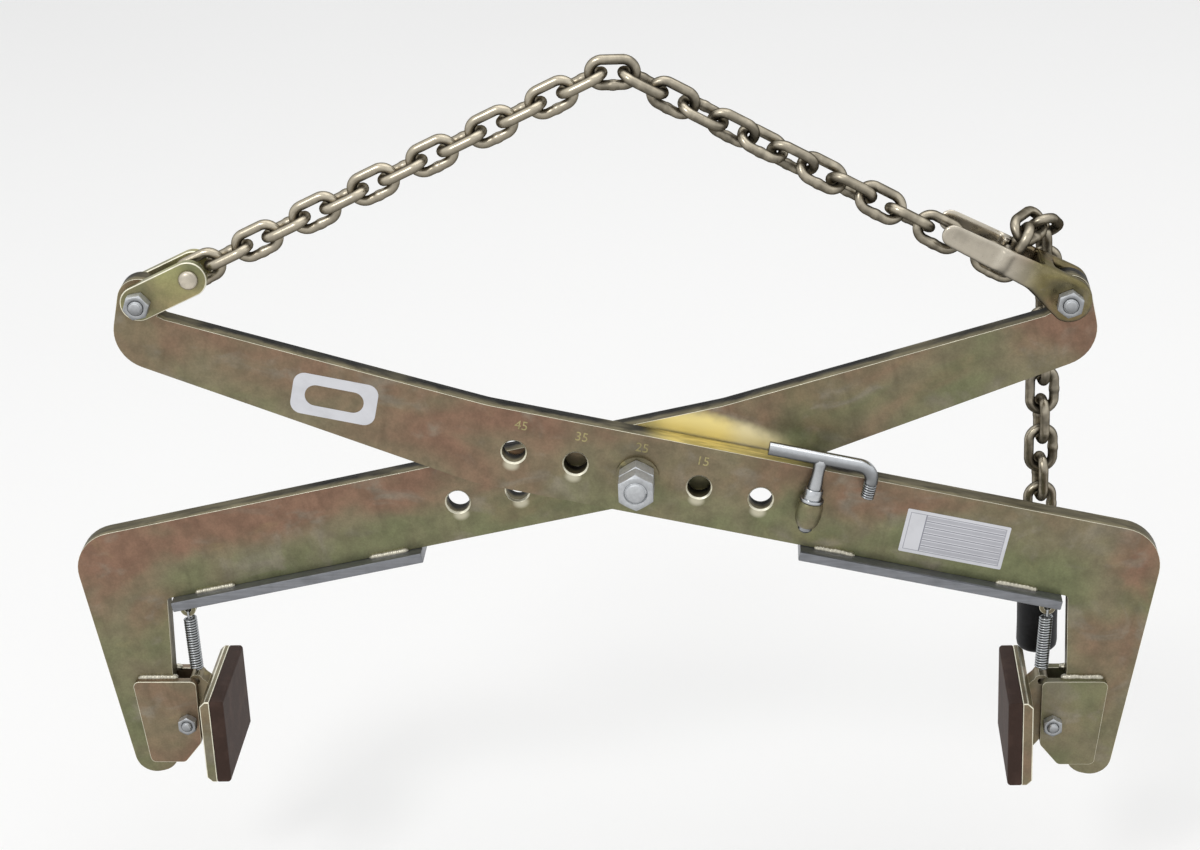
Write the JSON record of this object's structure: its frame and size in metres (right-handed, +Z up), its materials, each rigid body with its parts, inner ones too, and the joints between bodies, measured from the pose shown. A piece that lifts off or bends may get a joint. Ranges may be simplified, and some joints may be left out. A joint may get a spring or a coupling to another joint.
{
  "type": "stone lifting clamp",
  "caption": "Scissor clamp for lifting kerb stones: crossed steel arms on a pivot bolt, sprung rubber pads, chain sling with shackle, shortening claw and latch.",
  "frame": {"origin": "lifting point: under the upper wire of the lifting link, midway along it and midway between the two arm plates", "axes": "+X to the right along the jaw opening, +Y away from the viewer along the pivot bolt, +Z up"},
  "size_m": [0.6159, 0.0978, 0.4334],
  "materials": {
    "yellow_zinc": "yellow chromated zinc plating, satin",
    "grey_bar": "plated flat bar, satin",
    "bright_zinc": "bright zinc plating",
    "chain": "chromated zinc plating, worn",
    "pad_rubber": "matte moulded rubber",
    "sleeve": "black soft plastic"
  },
  "bodies": {
    "front_arm": {"front_arm_plate": "yellow_zinc", "front_arm_flange": "grey_bar", "right_fork_front_cheek": "yellow_zinc", "right_fork_rear_cheek": "yellow_zinc", "right_spring_anchor": "yellow_zinc", "right_pad_spring": "bright_zinc", "pivot_bolt": "bright_zinc", "pivot_nut": "bright_zinc", "pivot_lock_nut": "bright_zinc", "pivot_front_washer": "bright_zinc", "pivot_rear_washer": "bright_zinc", "pivot_spacer": "bright_zinc", "latch_sleeve": "yellow_zinc", "right_pad_bolt": "bright_zinc", "right_pad_nut": "bright_zinc", "shackle_bolt": "bright_zinc", "shackle_nut": "bright_zinc"},
    "rear_arm": {"rear_arm_plate": "yellow_zinc", "rear_arm_flange": "grey_bar", "left_fork_front_cheek": "yellow_zinc", "left_fork_rear_cheek": "yellow_zinc", "left_spring_anchor": "yellow_zinc", "left_pad_spring": "bright_zinc", "left_pad_bolt": "bright_zinc", "left_pad_nut": "bright_zinc", "claw_bolt": "bright_zinc", "claw_nut": "bright_zinc"},
    "right_pad": {"right_pad_ear": "yellow_zinc", "right_pad_plate": "yellow_zinc", "right_pad_rubber": "pad_rubber"},
    "left_pad": {"left_pad_ear": "yellow_zinc", "left_pad_plate": "yellow_zinc", "left_pad_rubber": "pad_rubber"},
    "shackle": {"shackle_front_strap": "yellow_zinc", "shackle_rear_strap": "yellow_zinc", "shackle_pin": "bright_zinc"},
    "chain_left": {"chain_left_run": "chain"},
    "lifting_link": {"lifting_link": "chain"},
    "claw": {"shortening_claw": "yellow_zinc", "chain_bight": "chain"},
    "chain_right": {"chain_right_run": "chain"},
    "chain_tail": {"chain_tail": "chain", "chain_tail_sleeve": "sleeve"},
    "latch": {"latch_rod": "bright_zinc", "latch_stem": "bright_zinc", "latch_collar": "bright_zinc"}
  },
  "joints": [
    {"name": "scissor", "type": "hinge", "parent": "front_arm", "child": "rear_arm", "pos_m": [0.00485, 0, -0.23261], "axis": [0, -1, 0], "range_deg": [-24, 20]},
    {"name": "right_pad_swivel", "type": "hinge", "parent": "front_arm", "child": "right_pad", "pos_m": [0.23662, -0.00675, -0.39106], "axis": [0, -1, 0], "range_deg": [-12, 12], "stiffness_Nm_per_rad": 2, "deforming": ["right_pad_spring"]},
    {"name": "left_pad_swivel", "type": "hinge", "parent": "rear_arm", "child": "left_pad", "pos_m": [-0.2658, 0.00675, -0.39106], "axis": [0, -1, 0], "range_deg": [-12, 12], "stiffness_Nm_per_rad": 2, "deforming": ["left_pad_spring"]},
    {"name": "shackle_swing", "type": "hinge", "parent": "front_arm", "child": "shackle", "pos_m": [-0.26312, -0.00675, -0.12193], "axis": [0, -1, 0], "range_deg": [-5, 5]},
    {"name": "chain_left_swing", "type": "hinge", "parent": "shackle", "child": "chain_left", "pos_m": [-0.23402, -0.00675, -0.10862], "axis": [0, -1, 0], "range_deg": [-28, 23]},
    {"name": "lifting_link_tilt", "type": "hinge", "parent": "chain_left", "child": "lifting_link", "pos_m": [-0.0053, 0, -0.004], "axis": [0, -1, 0], "range_deg": [-11, 13]},
    {"name": "claw_swing", "type": "hinge", "parent": "rear_arm", "child": "claw", "pos_m": [0.24163, 0.00675, -0.13673], "axis": [0, -1, 0], "range_deg": [-9, 11]},
    {"name": "chain_right_swing", "type": "hinge", "parent": "claw", "child": "chain_right", "pos_m": [0.20779, 0.00675, -0.12028], "axis": [0, -1, 0], "range_deg": [-13, 16]},
    {"name": "tail_swing", "type": "hinge", "parent": "claw", "child": "chain_tail", "pos_m": [0.233, 0.04412, -0.13235], "axis": [0, -1, 0], "range_deg": [-20, 20]},
    {"name": "latch_swivel", "type": "hinge", "parent": "front_arm", "child": "latch", "pos_m": [0.09936, -0.0196, -0.25444], "axis": [0.2251, 0, 0.9743], "range_deg": [-32, 0]}
  ],
  "couplings": [
    {"joint": "shackle_swing", "follows": "scissor", "ratio": -0.1643},
    {"joint": "chain_left_swing", "follows": "scissor", "ratio": 1.1477},
    {"joint": "lifting_link_tilt", "follows": "scissor", "ratio": -0.5096},
    {"joint": "claw_swing", "follows": "scissor", "ratio": -0.4107},
    {"joint": "chain_right_swing", "follows": "scissor", "ratio": -0.6312}
  ]
}
